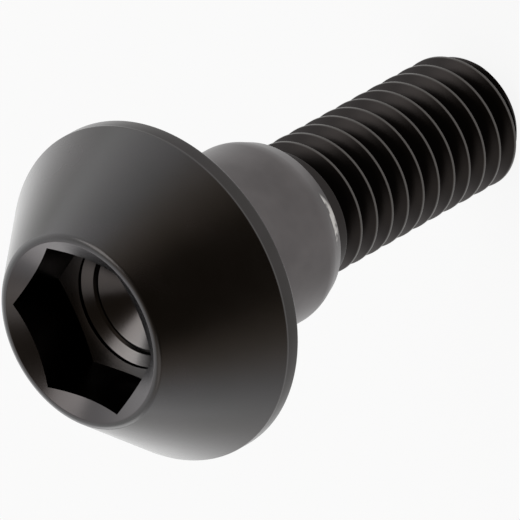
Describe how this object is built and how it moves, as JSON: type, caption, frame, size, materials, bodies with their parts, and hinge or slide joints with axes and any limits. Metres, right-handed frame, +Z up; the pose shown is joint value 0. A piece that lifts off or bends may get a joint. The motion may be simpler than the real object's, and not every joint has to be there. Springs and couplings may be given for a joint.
{
  "type": "brake disc screw",
  "caption": "Turned shoulder screw with a wide conical head, a hex socket and a right-hand metric thread, which holds a brake disc to its wheel hub.",
  "frame": {"origin": "centre of the flat thread end, on the screw's axis", "axes": "+Z up along the screw's axis, from the thread end to the head; +X through a corner of the hex socket"},
  "size_m": [0.0142, 0.0142, 0.025],
  "materials": {
    "black_steel": "black oxide on fine-turned steel, semi-gloss"
  },
  "bodies": {
    "root": {"disc_screw": "black_steel"}
  },
  "joints": []
}
